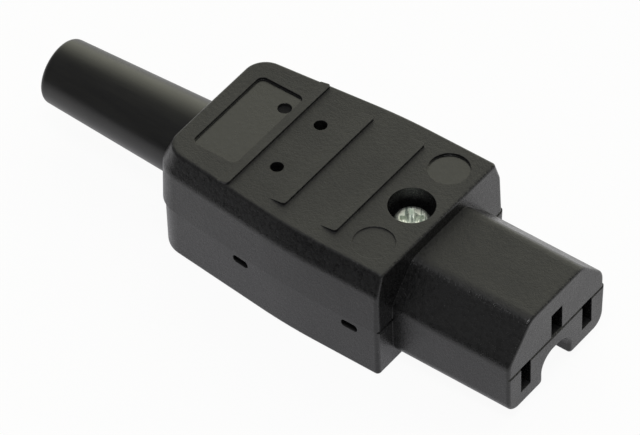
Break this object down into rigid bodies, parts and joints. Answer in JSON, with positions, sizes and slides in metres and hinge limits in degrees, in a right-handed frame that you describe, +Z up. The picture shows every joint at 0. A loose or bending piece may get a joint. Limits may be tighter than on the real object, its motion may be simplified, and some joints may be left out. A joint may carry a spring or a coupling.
{
  "type": "rewireable iec connector",
  "caption": "Straight rewireable cord connector: black plastic shells screwed together round contacts in a notched nose, with wire terminals, a cord clamp and a tapered rubber sleeve.",
  "frame": {"origin": "centre of the nose face on the parting plane of the two shells", "axes": "+X out of the nose towards the inlet it plugs into, +Z up through the cover with the housing screw, +Y to the side of the line contact"},
  "size_m": [0.0848, 0.0289, 0.0188],
  "materials": {
    "shell_plastic": "black moulding with a fine spark texture",
    "sleeve_rubber": "smooth satin black rubber",
    "plated_screw": "bright zinc plate",
    "contact_brass": "drawn brass sheet",
    "terminal_brass": "turned and milled brass",
    "plate_steel": "pressed steel",
    "clamp_plastic": "dark grey moulding"
  },
  "bodies": {
    "base": {"lower_shell": "shell_plastic", "threaded_insert": "terminal_brass", "line_contact": "contact_brass", "neutral_contact": "contact_brass", "earth_contact": "contact_brass", "line_terminal": "terminal_brass", "neutral_terminal": "terminal_brass", "earth_terminal": "terminal_brass", "bend_sleeve": "sleeve_rubber"},
    "cover": {"upper_shell": "shell_plastic"},
    "housing_screw": {"housing_screw": "plated_screw"},
    "line_plate": {"line_clamp_plate": "plate_steel"},
    "neutral_plate": {"neutral_clamp_plate": "plate_steel"},
    "earth_plate": {"earth_clamp_plate": "plate_steel"},
    "line_screw": {"line_terminal_screw": "plated_screw"},
    "neutral_screw": {"neutral_terminal_screw": "plated_screw"},
    "earth_screw": {"earth_terminal_screw": "plated_screw"},
    "clamp_bridge": {"cord_clamp": "clamp_plastic"},
    "left_clamp_screw": {"left_clamp_screw": "plated_screw"},
    "right_clamp_screw": {"right_clamp_screw": "plated_screw"}
  },
  "joints": [
    {"name": "cover_lift", "type": "slide", "parent": "base", "child": "cover", "axis": [0, 0, 1], "range_m": [0, 0.03]},
    {"name": "housing_screw_turn", "type": "hinge", "parent": "cover", "child": "housing_screw", "pos_m": [-0.02395, 0, 0.005], "axis": [0, 0, 1], "continuous": true},
    {"name": "line_plate_slide", "type": "slide", "parent": "base", "child": "line_plate", "axis": [0, 0, 1], "range_m": [0, 0.0025]},
    {"name": "line_screw_turn", "type": "hinge", "parent": "line_plate", "child": "line_screw", "pos_m": [-0.0265, 0.0079, 0.0025], "axis": [0, 0, 1], "range_deg": [0, 1801]},
    {"name": "neutral_plate_slide", "type": "slide", "parent": "base", "child": "neutral_plate", "axis": [0, 0, 1], "range_m": [0, 0.0025]},
    {"name": "neutral_screw_turn", "type": "hinge", "parent": "neutral_plate", "child": "neutral_screw", "pos_m": [-0.0265, -0.0079, 0.0025], "axis": [0, 0, 1], "range_deg": [0, 1801]},
    {"name": "earth_plate_slide", "type": "slide", "parent": "base", "child": "earth_plate", "axis": [0, 0, 1], "range_m": [0, 0.0025]},
    {"name": "earth_screw_turn", "type": "hinge", "parent": "earth_plate", "child": "earth_screw", "pos_m": [-0.033, 0, 0.0025], "axis": [0, 0, 1], "range_deg": [0, 1801]},
    {"name": "clamp_slide", "type": "slide", "parent": "base", "child": "clamp_bridge", "axis": [0, 0, 1], "range_m": [0, 0.0022]},
    {"name": "left_clamp_turn", "type": "hinge", "parent": "clamp_bridge", "child": "left_clamp_screw", "pos_m": [-0.04295, -0.00488, 0.0042], "axis": [0, 0, 1], "range_deg": [0, 721]},
    {"name": "right_clamp_turn", "type": "hinge", "parent": "clamp_bridge", "child": "right_clamp_screw", "pos_m": [-0.04295, 0.00488, 0.0042], "axis": [0, 0, 1], "range_deg": [0, 721]}
  ],
  "couplings": [
    {"joint": "line_screw_turn", "follows": "line_plate_slide", "rad_per_m": 12566},
    {"joint": "neutral_screw_turn", "follows": "neutral_plate_slide", "rad_per_m": 12566},
    {"joint": "earth_screw_turn", "follows": "earth_plate_slide", "rad_per_m": 12566},
    {"joint": "left_clamp_turn", "follows": "clamp_slide", "rad_per_m": 5712},
    {"joint": "right_clamp_turn", "follows": "clamp_slide", "rad_per_m": 5712}
  ]
}
